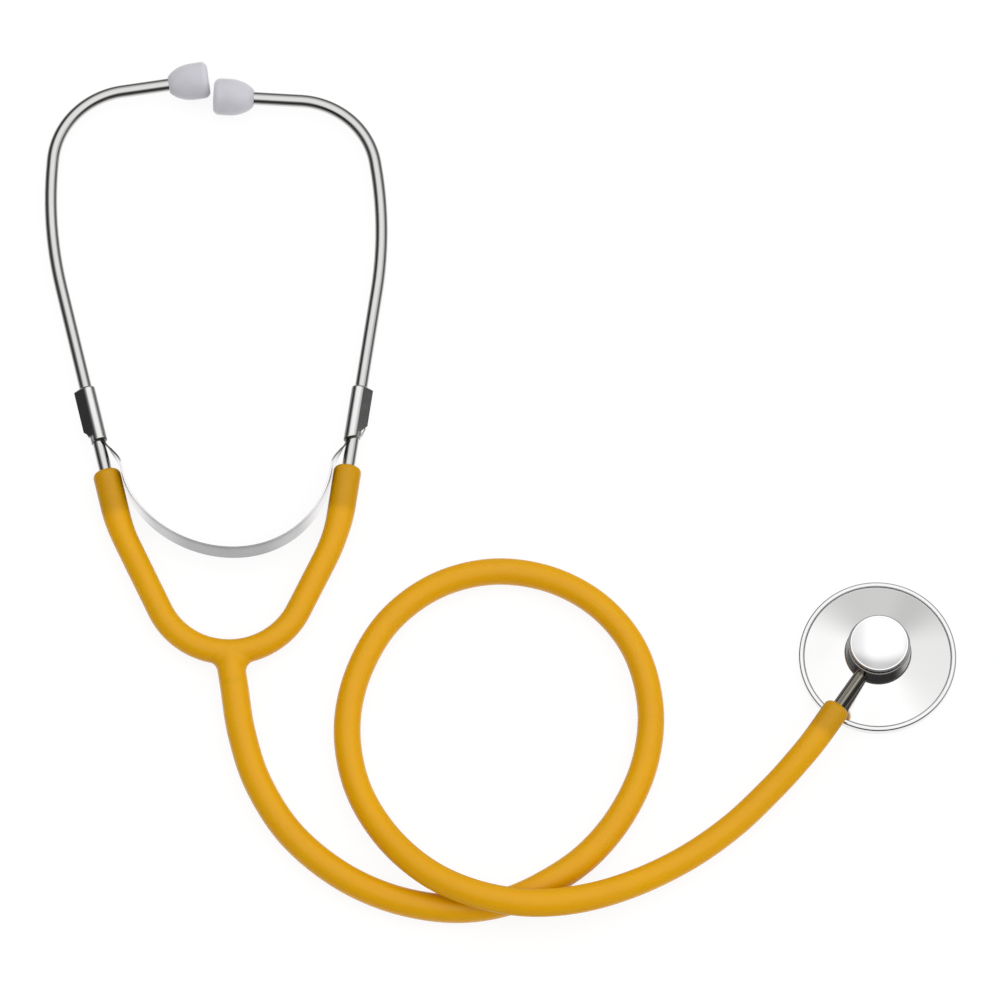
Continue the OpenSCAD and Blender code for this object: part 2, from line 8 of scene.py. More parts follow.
import bmesh
import bpy
import numpy as np
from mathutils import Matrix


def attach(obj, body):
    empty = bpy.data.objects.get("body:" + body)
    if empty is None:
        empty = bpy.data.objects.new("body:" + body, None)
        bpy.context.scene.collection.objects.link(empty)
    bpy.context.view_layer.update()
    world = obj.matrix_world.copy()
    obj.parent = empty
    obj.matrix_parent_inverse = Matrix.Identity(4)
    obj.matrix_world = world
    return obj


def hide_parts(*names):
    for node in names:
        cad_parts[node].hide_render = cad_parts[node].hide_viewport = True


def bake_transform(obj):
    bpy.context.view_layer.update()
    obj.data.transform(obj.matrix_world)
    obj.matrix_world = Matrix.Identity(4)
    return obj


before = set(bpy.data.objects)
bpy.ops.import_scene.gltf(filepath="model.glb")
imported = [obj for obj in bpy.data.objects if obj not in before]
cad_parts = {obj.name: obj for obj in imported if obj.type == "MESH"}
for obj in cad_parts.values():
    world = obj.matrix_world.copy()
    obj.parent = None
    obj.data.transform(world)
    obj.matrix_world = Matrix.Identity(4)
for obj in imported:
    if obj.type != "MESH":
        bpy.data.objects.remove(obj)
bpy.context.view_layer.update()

MM = 0.001
LEFT, RIGHT = -1, 1
SIDE_NAME = {LEFT: "left", RIGHT: "right"}
SMOOTH_BELOW = math.radians(40)

# Tubing
HOSE_R = 4.0
FOOT_R = 4.26
ARM_R = 3.85
SLEEVE_R = 4.2
SLEEVE_LEN = 12.5
SWELL_FROM = 24.0
SWELL_RUN = 12.0
SLEEVE_PAST = {LEFT: 0.0, RIGHT: 0.8}
END_ROUND = 1.7
FORK_AT = (-80.5, -82.0)
FORK_R = 23.0
FORK_FILLET = 3.2
FORK_PAST = 4.0  # degrees of the rough round beyond its cuts
FORK_CELL = 0.32  # cell of the remeshing
FORK_SPARE = 0.2  # extra radius of the rough fork, before it is drawn onto its skin
ARM_LEAN = 25.5
ARM_RUN = 35.5
FLARE_R = 58.0
FOOT_RUN = 10.5
FOOT_LEAN = 9.0
SPLAY = {LEFT: 13.7, RIGHT: 8.3}
BINAURAL_Z = 4.2
SEAM_LAP = 0.5  # how far inside the fork's round an arm starts
SEAM_HAIR = 0.012  # how much thinner it is in there
STRETCH_FADE = 4.0  # length over which the painted shade on tight tubing fades in
HOSE_TIGHT = 12.0  # length of hose that is tight over the stem
TABLE_GAP = 0.05
PLUG_LAP = 0.1  # how far a tube's end closes into what is plugged in
TUBING_SIDES = 48
HOSE_STEPS = 16  # points of the hose's line from one point of its route to the next
# The hose's way over the table: x, y and its lift in hose thicknesses
HOSE_POINTS = [
    (-76.4, -107.5, 0), (-71.3, -123.4, 0), (-61.6, -139.1, 0), (-47.5, -151.5, 0), (-31.6, -159.3, 0),
    (-14.5, -162.6, 0), (0.6, -161.1, 0), (13.6, -155.6, 0), (26.8, -146.3, 0), (37.3, -133.2, 0),
    (44.3, -117.1, 0), (46.1, -99.5, 0), (41.6, -81.5, 0), (31, -67.5, 0), (15.9, -58.8, 0),
    (-1.5, -56.4, 0), (-18.5, -61.1, 0), (-32.6, -72.4, 0), (-41.5, -88.5, 0), (-44.8, -106, 0.01),
    (-41.9, -124, 0.06), (-33.5, -140, 0.38), (-21.5, -152.6, 0.81), (-7.5, -160.2, 1.07),
    (8.5, -163.2, 1), (24.5, -161.2, 0.63), (40.6, -155.4, 0.22), (56.5, -147, 0.04), (70.5, -136.8, 0.04),
    (82.7, -125.2, 0.22), (90.2, -117.2, 0.47),
]
# Distance along the hose and its thickness there, as a share of the plain thickness
HOSE_SWELL = [
    (0, 1.065), (150, 1.065), (180, 1.03), (200, 1.0), (330, 1.0), (380, 1.03), (450, 1.04),
    (480, 1.0), (520, 0.975), (537, 0.985), (545, 1.0), (560, 1.0),
]

# Ear tubes and tips
EAR_TUBE_R = 2.0
METAL_TUBE_SIDES = 64
IN_ARM = {LEFT: 8.5, RIGHT: 11.5}
EAR_ROLL = 1.524
EAR_STRAIGHT = 70.0
SWEEP = (132.0, 18.0)  # radius and degrees
JOIN_RUN = 1.0
EAR_BEND = (24.5, 77.5)  # radius and degrees
END_RUN = 14.5
TIP_SOCKET = 7.5
TIP_R = 5.65
TIP_LEN = 12.4
TIP_BACK = 7.7
TIP_BACK_R = 2.45
TIP_ROUND = 2.0
TIP_HOLE_R = 1.2
TIP_SIDES = 96

# Leaf spring and clips
SPRING_W = 9.0
SPRING_T = 0.5
SPRING_Z = 4.5
SPRING_DROP = 27.1
SPRING_SKEW = 2.4
SPRING_RISE = 0.8
ROUND_FROM = math.radians(6)
STRIP_GAP = 0.35
TONGUE_W = 1.0
TONGUE_IN = 10.0
TONGUE_LEAN = 30.0
TONGUE_R = 2.3
SBEND_TOP = 0.3
SBEND_FOOT = 3.0
UPRIGHT_BY = 0.5
WIDEN_FROM = 0.3
STRIP_EDGE = 0.06
CLIP_FROM = {LEFT: 18.0, RIGHT: 20.2}
CLIP_LEN = 18.0
CLIP_SLANT = {LEFT: 0.0, RIGHT: 0.35}
CLIP_R = 2.45
CLIP_ROUND = 0.8
ROUND_SHARE = 0.9  # share of the sheet's height that is rounded off at a clip's ends
BULGE_R = 2.35
BULGE_OUT = 0.95
LIP_FROM = 2.2
LIP_W = 2.75
LIP_T = 0.8
LIP_SLOPE = 38.0
LIP_TOP = BULGE_R + BULGE_OUT * math.cos(math.radians(LIP_SLOPE + TONGUE_LEAN))
LIP_CUT = 2.0
PRONG_R = 0.25
PRONG_LEN = 2.6
PRONG_TURN = 20.0
PRONG_SIDES = 20

# Chest piece
CHEST_AT = (114.5, -83.0)
STEM_TURN = 235.5
STEM_Z = 8.6
STEM_R = 2.0
HOSE_STOP = 21.5
HOSE_STRAIGHT = 12.0
TURNED_SIDES = 192

# Camera and light, in metres and degrees; the panel's levels are (metres from the middle, level)
CAMERA_AT = (0.0010, -0.8956, 2.3730)
CAMERA_TILT = 20
LENS, SENSOR = 300, 36
FLOOR_GLOW = 0.88
SHADOW_SHARE = 0.14
MIRRORED_FLOOR = (0.006, 0.018, 1.0, 0.12)  # near and far distance, level near and far
PANEL_Z = 1.0
PANEL_ACROSS = [
    (-2.6, 0.05), (-1.2, 0.14), (-0.8, 0.5), (-0.5, 0.98), (0.3, 1.05), (0.8, 0.82), (1.3, 0.6),
    (3.0, 0.38),
]
PANEL_ALONG = [
    (-2.4, 0.03), (-1.2, 0.08), (-0.73, 0.4), (-0.45, 0.95), (-0.3, 1.05), (0.5, 1.05), (1.2, 0.6),
    (3.0, 0.3),
]
SKY_TOWARDS = (0.6, 0.55, 0.2)  # its brighter side
SKY_LEVELS = (-0.2, 0.7, 0.035, 0.09)  # share of that way, from and to, level from and to
TOP_FILL = 0.75
TOP_TILT = (-26, 24)
FRONT_FILL = 0.40
FRONT_TILT = (36, 0)
FILL_WIDTH = 150


# Camera

def set_camera():
    lens = bpy.data.cameras.new("camera")
    lens.lens, lens.sensor_width = LENS, SENSOR
    lens.clip_start, lens.clip_end = 0.05, 30
    camera = bpy.data.objects.new("camera", lens)
    camera.location = CAMERA_AT
    camera.rotation_euler = (math.radians(CAMERA_TILT), 0, 0)
    bpy.context.scene.collection.objects.link(camera)
    bpy.context.scene.camera = camera


# Centre lines

def ahead(degrees):
    a = math.radians(degrees)
    return np.array([math.cos(a), math.sin(a)])


def leftward(degrees):
    return ahead(degrees + 90)


def walk(at, heading, moves, step=0.5, turn_step=1.5):
    """Points of a tube's centre line through straight runs (length,) and bends (radius, turn)."""
    points, at = [np.array(at, float)], np.array(at, float)
    for move in moves:
        if len(move) == 1:
            count = max(1, math.ceil(move[0] / step))
            points += [at + ahead(heading) * move[0] * i / count for i in range(1, count + 1)]
        else:
            radius, turn = move
            reach = math.copysign(radius, turn)
            count = max(2, math.ceil(abs(turn) / turn_step))
            points += [
                at + reach * (leftward(heading) - leftward(heading + turn * i / count))
                for i in range(1, count + 1)
            ]
            heading += turn
        at = points[-1]
    return np.array(points), heading


def with_height(points, z):
    return np.column_stack([points, np.full(len(points), z)])


def run_lengths(points):
    return np.concatenate([[0], np.cumsum(np.linalg.norm(np.diff(points, axis=0), axis=1))])


def smoothstep(t):
    t = np.clip(t, 0, 1)
    return t * t * (3 - 2 * t)


def catmull_rom(route, steps):
    route = np.array(route, float)
    ends = np.vstack([2 * route[0] - route[1], route, 2 * route[-1] - route[-2]])
    t = np.linspace(0, 1, steps, endpoint=False)[:, None]
    spans = []
    for a, b, c, d in zip(ends, ends[1:], ends[2:], ends[3:]):
        spans.append(b + t / 2 * (c - a + t * (2 * a - 5 * b + 4 * c - d + t * (3 * (b - c) + d - a))))
    return np.vstack(spans + [route[-1:]])


def arm_start(side):
    heading = 180 if side == LEFT else 0
    points, heading = walk(FORK_AT, heading, [(FORK_R, side * (90 - ARM_LEAN))])
    return points[-1], heading


def arm_line(side):
    """Centre line of an arm, from a little inside the fork's round to the arm's mouth."""
    start, heading = arm_start(side)
    turn = ARM_LEAN - SPLAY[side]
    run = ARM_RUN - math.radians(turn) * FLARE_R
    return walk(
        start - SEAM_LAP * ahead(heading), heading,
        [(SEAM_LAP + run,), (FLARE_R, side * turn), (SLEEVE_LEN,)],
    )


def mouth_at(side):
    points, heading = arm_line(side)
    return points[-1], heading


def ear_place(side, points):
    """Puts points of an ear tube's own frame where the tube lies in its arm."""
    mouth, heading = mouth_at(side)
    roll = math.radians(side * EAR_ROLL)
    x, y, z = np.array(points, float).T
    x = x - IN_ARM[side]
    y, z = y * math.cos(roll) - z * math.sin(roll), y * math.sin(roll) + z * math.cos(roll)
    flat = mouth + np.outer(x, ahead(heading)) + np.outer(y, leftward(heading))
    return np.column_stack([flat, z + BINAURAL_Z])


def ear_line(side, past_end):
    """Centre line of an ear tube in its own frame, with the length past its bare end."""
    return walk((0, 0), 0, [
        (EAR_STRAIGHT,), (SWEEP[0], side * SWEEP[1]), (JOIN_RUN,),
        (EAR_BEND[0], side * EAR_BEND[1]), (END_RUN + past_end,),
    ])


# Meshes

def new_object(name, mesh):
    thing = bpy.data.objects.new(name, mesh)
    bpy.context.scene.collection.objects.link(thing)
    return thing


def mesh_from(name, points, faces, paint):
    mesh = bpy.data.meshes.new(name)
    mesh.from_pydata([tuple(p) for p in np.array(points) * MM], [], faces)
    shell = bmesh.new()
    shell.from_mesh(mesh)
    bmesh.ops.remove_doubles(shell, verts=shell.verts, dist=1e-7)
    bmesh.ops.recalc_face_normals(shell, faces=shell.faces)
    for face in shell.faces:
        face.smooth = True
    shell.to_mesh(mesh)
    shell.free()
    mesh.materials.append(paint)
    return mesh


def tube_tree():
    """Geometry nodes: a round tube along a path, as thick at each point as the path says."""
    tree = bpy.data.node_groups.new("tube_along_path", "GeometryNodeTree")
    sockets = {}
    for name, way, kind in (
        ("Path", "INPUT", "NodeSocketGeometry"), ("Sides", "INPUT", "NodeSocketInt"),
        ("Finish", "INPUT", "NodeSocketMaterial"), ("Tube", "OUTPUT", "NodeSocketGeometry"),
    ):
        sockets[name] = tree.interface.new_socket(name, in_out=way, socket_type=kind)
    add = tree.nodes.new
    given, result = add("NodeGroupInput"), add("NodeGroupOutput")
    line, sweep, ring = (
        add("GeometryNodeMeshToCurve"), add("GeometryNodeCurveToMesh"),
        add("GeometryNodeCurvePrimitiveCircle"),
    )
    thickness, soft = add("GeometryNodeInputNamedAttribute"), add("GeometryNodeSetShadeSmooth")
    real, paint = add("GeometryNodeRealizeInstances"), add("GeometryNodeSetMaterial")
    thickness.data_type = "FLOAT"
    thickness.inputs["Name"].default_value = "tube_radius"
    ring.inputs["Radius"].default_value = 1.0
    sweep.inputs["Fill Caps"].default_value = True
    join = tree.links.new
    join(given.outputs["Path"], line.inputs["Mesh"])
    join(given.outputs["Sides"], ring.inputs["Resolution"])
    join(line.outputs["Curve"], sweep.inputs["Curve"])
    join(ring.outputs["Curve"], sweep.inputs["Profile Curve"])
    join(thickness.outputs["Attribute"], sweep.inputs["Scale"])
    join(sweep.outputs["Mesh"], soft.inputs["Geometry"])
    join(soft.outputs["Geometry"], real.inputs["Geometry"])
    join(real.outputs["Geometry"], paint.inputs["Geometry"])
    join(given.outputs["Finish"], paint.inputs["Material"])
    join(paint.outputs["Geometry"], result.inputs["Tube"])
    return tree, sockets


def tube(name, points, radii, sides, paint, stretched=0):
    """A plain mesh tube along points, with a radius at each, made by the tube tree.

    stretched is the length at its far end that is pulled tight over something; the tubing there gets painted
    shade.
    """
    points = np.array(points, float)
    path = bpy.data.meshes.new(name + "_path")
    path.from_pydata([tuple(p) for p in points * MM], [(i, i + 1) for i in range(len(points) - 1)], [])
    thickness = path.attributes.new("tube_radius", "FLOAT", "POINT")
    thickness.data.foreach_set("value", np.array(radii, np.float32) * MM)
    lengths = run_lengths(points)
    # Painted shade mask: where the far end is pulled tight, the tubing's colour is darkened.
    tight = smoothstep((lengths - lengths[-1] + stretched) / STRETCH_FADE) if stretched else 0 * lengths
    tight_shade = path.attributes.new("tight_shade", "FLOAT", "POINT")
    tight_shade.data.foreach_set("value", tight.astype(np.float32))
    maker = new_object(name + "_maker", path)
    nodes = maker.modifiers.new("tube", "NODES")
    nodes.node_group = TUBE_TREE
    nodes[TUBE_SOCKETS["Sides"].identifier] = sides
    nodes[TUBE_SOCKETS["Finish"].identifier] = paint
    shown = maker.evaluated_get(bpy.context.evaluated_depsgraph_get())
    mesh = bpy.data.meshes.new_from_object(shown)
    mesh.name = name
    bpy.data.objects.remove(maker)
    shell = bmesh.new()
    shell.from_mesh(mesh)
    bmesh.ops.recalc_face_normals(shell, faces=shell.faces)
    shell.to_mesh(mesh)
    shell.free()
    return new_object(name, mesh)


def crisp(profile, margin=0.04):
    """Adds points close to the corners of an outline, so that a smooth finish keeps its flats flat."""
    full = []
    for a, b in zip(profile, profile[1:]):
        a, b = np.array(a, float), np.array(b, float)
        length = np.linalg.norm(b - a)
        full.append(a)
        if length > 4 * margin:
            full += [a + (b - a) * margin / length, b - (b - a) * margin / length]
    return full + [np.array(profile[-1], float)]


def arc(centre, radius, start, end, steps):
    angles = np.radians(np.linspace(start, end, steps + 1))
    return [(centre[0] + radius * math.cos(a), centre[1] + radius * math.sin(a)) for a in angles]


def lathe(profile, origin, axis, segments):
    """Points and faces of an outline of (radius, height) turned about an axis."""
    origin, axis = np.array(origin, float), np.array(axis, float) / np.linalg.norm(axis)
    helper = np.array([0, 0, 1.0]) if abs(axis[2]) < 0.9 else np.array([1.0, 0, 0])
    across = np.cross(helper, axis)
    across /= np.linalg.norm(across)
    other = np.cross(axis, across)
    angles = np.linspace(0, 2 * math.pi, segments, endpoint=False)
    spokes = np.outer(np.cos(angles), across) + np.outer(np.sin(angles), other)
    points, rings = [], []
    for radius, height in profile:
        middle = origin + height * axis
        rings.append(len(points))
        points += [middle] if radius < 1e-6 else list(middle + radius * spokes)
    faces = []
    for (a, b), (low, high) in zip(zip(rings, rings[1:]), zip(profile, profile[1:])):
        for i in range(segments):
            k = (i + 1) % segments
            if low[0] < 1e-6:
                faces.append((a, b + i, b + k))
            elif high[0] < 1e-6:
                faces.append((a + i, b, a + k))
            else:
                faces.append((a + i, a + k, b + k, b + i))
    return points, faces


def rings_to_mesh(name, rings, paint):
    """A closed skin over rings of equally many points, with flat ends."""
    count = len(rings[0])
    points = np.vstack(rings)
    faces = [
        (i * count + k, i * count + (k + 1) % count,
         (i + 1) * count + (k + 1) % count, (i + 1) * count + k)
        for i in range(len(rings) - 1) for k in range(count)
    ]
    faces.append(tuple(range(count)))
    faces.append(tuple((len(rings) - 1) * count + k for k in range(count)))
    return mesh_from(name, points, faces, paint)


# Finishes

def link(tree, source, target):
    tree.links.new(source, target)


def set_range(node, values):
    """Sets a map range node from values of (from low, from high) or with (to low, to high) as well."""
    for socket, value in zip(("From Min", "From Max", "To Min", "To Max"), values):
        node.inputs[socket].default_value = value


def wear_group():
    """Shader group: patchy polish and a fine uneven skin, by the piece's own coordinates."""
    tree = bpy.data.node_groups.new("patchy_polish", "ShaderNodeTree")
    for name, way, kind in (
        ("Patch Scale", "INPUT", "NodeSocketFloat"), ("Smooth Roughness", "INPUT", "NodeSocketFloat"),
        ("Worn Roughness", "INPUT", "NodeSocketFloat"), ("Grain Scale", "INPUT", "NodeSocketFloat"),
        ("Roughness", "OUTPUT", "NodeSocketFloat"), ("Patch", "OUTPUT", "NodeSocketFloat"),
        ("Grain", "OUTPUT", "NodeSocketFloat"),
    ):
        tree.interface.new_socket(name, in_out=way, socket_type=kind)
    add = tree.nodes.new
    given, result, place = add("NodeGroupInput"), add("NodeGroupOutput"), add("ShaderNodeTexCoord")
    patch, grain, level = add("ShaderNodeTexNoise"), add("ShaderNodeTexNoise"), add("ShaderNodeMapRange")
    patch.inputs["Detail"].default_value = 5
    grain.inputs["Detail"].default_value = 3
    set_range(level, (0.35, 0.7))
    for noise, scale in ((patch, "Patch Scale"), (grain, "Grain Scale")):
        link(tree, place.outputs["Object"], noise.inputs["Vector"])
        link(tree, given.outputs[scale], noise.inputs["Scale"])
    link(tree, patch.outputs["Fac"], level.inputs["Value"])
    link(tree, given.outputs["Smooth Roughness"], level.inputs["To Min"])
    link(tree, given.outputs["Worn Roughness"], level.inputs["To Max"])
    link(tree, level.outputs["Result"], result.inputs["Roughness"])
    link(tree, patch.outputs["Fac"], result.inputs["Patch"])
    link(tree, grain.outputs["Fac"], result.inputs["Grain"])
    return tree


def finish(name, colour, second, polish, grain, bump, **plain):
    """A material with two close colours in patches, uneven polish and a fine skin.

    polish is (patch scale, smooth roughness, worn roughness); grain is the skin's scale.
    """
    paint = bpy.data.materials.new(name)
    paint.use_nodes = True
    tree = paint.node_tree
    shader = tree.nodes["Principled BSDF"]
    wear = tree.nodes.new("ShaderNodeGroup")
    wear.node_tree = PATCHY_POLISH
    for socket, value in zip(("Patch Scale", "Smooth Roughness", "Worn Roughness"), polish):
        wear.inputs[socket].default_value = value
    wear.inputs["Grain Scale"].default_value = grain
    tint = tree.nodes.new("ShaderNodeMix")
    tint.data_type = "RGBA"
    tint.inputs[6].default_value = (*colour, 1)
    tint.inputs[7].default_value = (*second, 1)
    skin = tree.nodes.new("ShaderNodeBump")
    skin.inputs["Strength"].default_value = bump[0]
    skin.inputs["Distance"].default_value = bump[1] * MM
    link(tree, wear.outputs["Patch"], tint.inputs[0])
    link(tree, tint.outputs[2], shader.inputs["Base Color"])
    link(tree, wear.outputs["Roughness"], shader.inputs["Roughness"])
    link(tree, wear.outputs["Grain"], skin.inputs["Height"])
    link(tree, skin.outputs["Normal"], shader.inputs["Normal"])
    for socket, value in plain.items():
        shader.inputs[socket.replace("_", " ")].default_value = value
    return paint


def metal(name, colour, second, polish, bump=0.03):
    return finish(name, colour, second, polish, 2500, (bump, 0.02), Metallic=1.0)


def fade_along(tree, coordinate, stops):
    """Level along one direction, from stops of (metres, level)."""
    low, high = stops[0][0], stops[-1][0]
    share, ramp = tree.nodes.new("ShaderNodeMapRange"), tree.nodes.new("ShaderNodeValToRGB")
    set_range(share, (low, high))
    ramp.color_ramp.interpolation = "EASE"
    marks = ramp.color_ramp.elements
    while len(marks) < len(stops):
        marks.new(0.5)
    for mark, (metres, level) in zip(marks, stops):
        mark.position = (metres - low) / (high - low)
        mark.color = (level, level, level, 1)
    link(tree, coordinate, share.inputs["Value"])
    link(tree, share.outputs["Result"], ramp.inputs["Fac"])
    return ramp.outputs["Color"]


def shade_tight_tubing(paint, shade):
    """Paints shade: deepens a colour where the tubing is pulled tight over the stem and ear tubes, standing
    in for the shade there.
    """
    tree = paint.node_tree
    tight, tone = tree.nodes.new("ShaderNodeAttribute"), tree.nodes.new("ShaderNodeMix")
    tight.attribute_name = "tight_shade"
    tone.data_type, tone.blend_type = "RGBA", "MULTIPLY"
    tone.inputs[7].default_value = (*shade, 1)
    colour = tree.nodes["Principled BSDF"].inputs["Base Color"]
    link(tree, tight.outputs["Fac"], tone.inputs[0])
    link(tree, colour.links[0].from_socket, tone.inputs[6])
    link(tree, tone.outputs[2], colour)


def paint_reflection_bands(paint, origin, across, stops, both_ways=False):
    """Paints reflection bands: lets a colour change with the distance from origin (mm, in plan) in the
    direction across, standing in for the light and dark of reflections.
    """
    tree = paint.node_tree
    add = tree.nodes.new
    place, offset, tone = add("ShaderNodeTexCoord"), add("ShaderNodeVectorMath"), add("ShaderNodeMix")
    side, reach = add("ShaderNodeVectorMath"), add("ShaderNodeMath")
    offset.operation, side.operation = "SUBTRACT", "DOT_PRODUCT"
    offset.inputs[1].default_value = (origin[0] * MM, origin[1] * MM, 0)
    side.inputs[1].default_value = (across[0], across[1], 0)
    reach.operation = "ABSOLUTE" if both_ways else "ADD"
    reach.inputs[1].default_value = 0
    tone.data_type, tone.blend_type = "RGBA", "MULTIPLY"
    tone.inputs[0].default_value = 1
    colour = tree.nodes["Principled BSDF"].inputs["Base Color"]
    link(tree, place.outputs["Object"], offset.inputs[0])
    link(tree, offset.outputs[0], side.inputs[0])
    link(tree, side.outputs["Value"], reach.inputs[0])
    link(tree, colour.links[0].from_socket, tone.inputs[6])
    link(tree, fade_along(tree, reach.outputs[0], stops), tone.inputs[7])
    link(tree, tone.outputs[2], colour)


# Pieces

def dress(piece, body, slot, *nodes):
    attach(piece, body)
    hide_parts(*nodes)


def bend_with(piece, node):
    """Bakes a soft or springy piece's place into its mesh and hides the imported part it replaces."""
    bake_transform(piece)
    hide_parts(node)


def stem_point(out):
    return np.array([*(np.array(CHEST_AT) + out * ahead(STEM_TURN)), STEM_Z])


def rounded_end(radius, edge, inner, steps=10):
    """Lengths and radii of a cut tube end with a rounded edge, closing on what goes in."""
    angles = np.linspace(0, math.pi / 2, steps + 1)
    lengths = list(edge * np.sin(angles) - edge)
    radii = list(radius - edge + edge * np.cos(angles))
    return lengths + [0.02, 0.04], radii + [(radii[-1] + inner) / 2, inner]


def end_tube(points, radii, radius, edge, inner):
    """Cuts a centre line back to where its end starts to round, and rounds it."""
    lengths, spare = run_lengths(points), 0.05
    keep = lengths < lengths[-1] - edge - spare
    out = (points[-1] - points[-2]) / np.linalg.norm(points[-1] - points[-2])
    offsets, end_radii = rounded_end(radius, edge, inner)
    tail = [points[-1] + out * offset for offset in offsets]
    return np.vstack([points[keep], tail]), np.concatenate([np.array(radii)[keep], end_radii])


def make_hose():
    """The single hose, looped over itself on the table, from the fork's foot to the stem."""
    foot = np.array([*(np.array(FORK_AT) + FOOT_RUN * ahead(270 + FOOT_LEAN)), BINAURAL_Z])
    rest = HOSE_R + TABLE_GAP
    route = [foot] + [(x, y, rest + lift * 2 * HOSE_R) for x, y, lift in HOSE_POINTS]
    route += [stem_point(HOSE_STOP + HOSE_STRAIGHT), stem_point(HOSE_STOP)]
    line = catmull_rom(route, HOSE_STEPS)
    swell = np.interp(run_lengths(line), *zip(*HOSE_SWELL))
    points, radii = end_tube(line, HOSE_R * swell, HOSE_R, END_ROUND, STEM_R - PLUG_LAP)
    hose = tube("hose_tubing", points, radii, TUBING_SIDES, YELLOW_PVC, HOSE_TIGHT)
    dress(hose, "tubing", "yellow_pvc", "hose")


def fork_skin(points):
    """Signed distance to the fork's round and foot, filleted where they meet at an angle."""
    centre = np.array([FORK_AT[0], FORK_AT[1] + FORK_R])
    height = points[:, 2] - BINAURAL_Z
    out = points[:, :2] - centre
    reach = np.linalg.norm(out, axis=1)
    tube_in, tube_up = reach - FORK_R, height
    round_gap = np.hypot(tube_in, tube_up)
    round_normal = np.column_stack([
        out / reach[:, None] * (tube_in / np.maximum(round_gap, 1e-9))[:, None],
        tube_up / np.maximum(round_gap, 1e-9),
    ])
    way = ahead(270 + FOOT_LEAN)
    offset = points[:, :2] - np.array(FORK_AT)
    along = np.maximum(offset @ way, 0)
    from_axis = np.column_stack([offset - np.outer(along, way), height])
    foot_gap = np.linalg.norm(from_axis, axis=1)
    foot_normal = from_axis / np.maximum(foot_gap, 1e-9)[:, None]
    foot_r = ARM_R + (FOOT_R - ARM_R) * smoothstep((along - 1) / ARM_R)
    a, b = round_gap - ARM_R, foot_gap - foot_r
    fillet = FORK_FILLET * np.clip(1 - (round_normal * foot_normal).sum(1), 0.001, 1)
    corner = fillet - np.hypot(np.maximum(fillet - a, 0), np.maximum(fillet - b, 0))
    return np.where((a < fillet) & (b < fillet), np.minimum(corner, np.minimum(a, b)), np.minimum(a, b))


def make_fork():
    """The fork's round and foot as one smooth moulding, cut where its arms and the hose go on."""
    spread = 90 - ARM_LEAN + FORK_PAST
    start, heading = walk(FORK_AT, 180, [(FORK_R, -spread)])
    round_line, _ = walk(start[-1], heading + 180, [(FORK_R, 2 * spread)])
    foot_past, sides = 3, 32
    foot_line, _ = walk(FORK_AT, 270 + FOOT_LEAN, [(FOOT_RUN + foot_past,)])
    parts = [
        tube(name, with_height(line, BINAURAL_Z), np.full(len(line), radius + FORK_SPARE), sides, YELLOW_PVC)
        for name, line, radius in (("fork_round", round_line, ARM_R), ("fork_foot", foot_line, FOOT_R))
    ]
    shell = bmesh.new()
    for part in parts:
        shell.from_mesh(part.data)
        bpy.data.objects.remove(part)
    rough = bpy.data.meshes.new("fork_rough")
    shell.to_mesh(rough)
    shell.free()
    maker = new_object("fork_maker", rough)
    cells = maker.modifiers.new("cells", "REMESH")
    cells.mode, cells.voxel_size, cells.use_smooth_shade = "VOXEL", FORK_CELL * MM, True
    mesh = bpy.data.meshes.new_from_object(maker.evaluated_get(bpy.context.evaluated_depsgraph_get()))
    mesh.name = "fork_moulding"
    bpy.data.objects.remove(maker)
    points = np.empty(len(mesh.vertices) * 3)
    mesh.vertices.foreach_get("co", points)
    points = points.reshape(-1, 3) / MM
    reach = 1e-3
    for _ in range(8):
        gap = fork_skin(points)
        slope = np.column_stack([
            (fork_skin(points + step) - fork_skin(points - step)) / (2 * reach) for step in reach * np.eye(3)
        ])
        points = points - slope * (gap / np.maximum((slope ** 2).sum(1), 0.2))[:, None]
    mesh.vertices.foreach_set("co", (points * MM).ravel())
    shell = bmesh.new()
    shell.from_mesh(mesh)
    cuts = [arm_start(side) for side in (LEFT, RIGHT)]
    cuts.append((np.array(FORK_AT) + FOOT_RUN * ahead(270 + FOOT_LEAN), 270 + FOOT_LEAN))
    for at, way in cuts:
        bmesh.ops.bisect_plane(
            shell, geom=shell.verts[:] + shell.edges[:] + shell.faces[:], dist=1e-7,
            plane_co=(*(at * MM), BINAURAL_Z * MM), plane_no=(*ahead(way), 0), clear_outer=True,
        )
    for face in shell.faces:
        face.smooth = True
    shell.to_mesh(mesh)
    shell.free()
    mesh.materials.clear()
    mesh.materials.append(YELLOW_PVC)
    fork = new_object("fork_moulding", mesh)
    dress(fork, "tubing", "yellow_pvc", "y_fork")


def make_arm(side):
    """One arm of the fork, swollen and rounded where it is stretched over its ear tube."""
    flat, _ = arm_line(side)
    line = with_height(flat, BINAURAL_Z)
    line[-1] += SLEEVE_PAST[side] * (line[-1] - line[-2]) / np.linalg.norm(line[-1] - line[-2])
    lengths = run_lengths(line)
    swell = smoothstep((lengths - lengths[-1] + SWELL_FROM) / SWELL_RUN)
    radii = ARM_R + (SLEEVE_R - ARM_R) * swell - SEAM_HAIR * (lengths < SEAM_LAP - 0.01)
    points, radii = end_tube(line, radii, SLEEVE_R, END_ROUND, EAR_TUBE_R - PLUG_LAP)
    arm = tube(SIDE_NAME[side] + "_arm", points, radii, TUBING_SIDES, YELLOW_PVC, SLEEVE_LEN + STRETCH_FADE)
    start, heading = arm_start(side)
    sleeve = mouth_at(side)[0] - SLEEVE_LEN * ahead(mouth_at(side)[1])
    bend_with(arm, "y_fork")


def make_ear_tube(side):
    flat, _ = ear_line(side, TIP_SOCKET)
    line = ear_place(side, with_height(flat, 0))
    radii = np.full(len(line), EAR_TUBE_R)
    ear_tube = tube(SIDE_NAME[side] + "_tube", line, radii, METAL_TUBE_SIDES, EAR_STEEL)
    dress(ear_tube, SIDE_NAME[side] + "_binaural", "chrome", SIDE_NAME[side] + "_ear_tube")


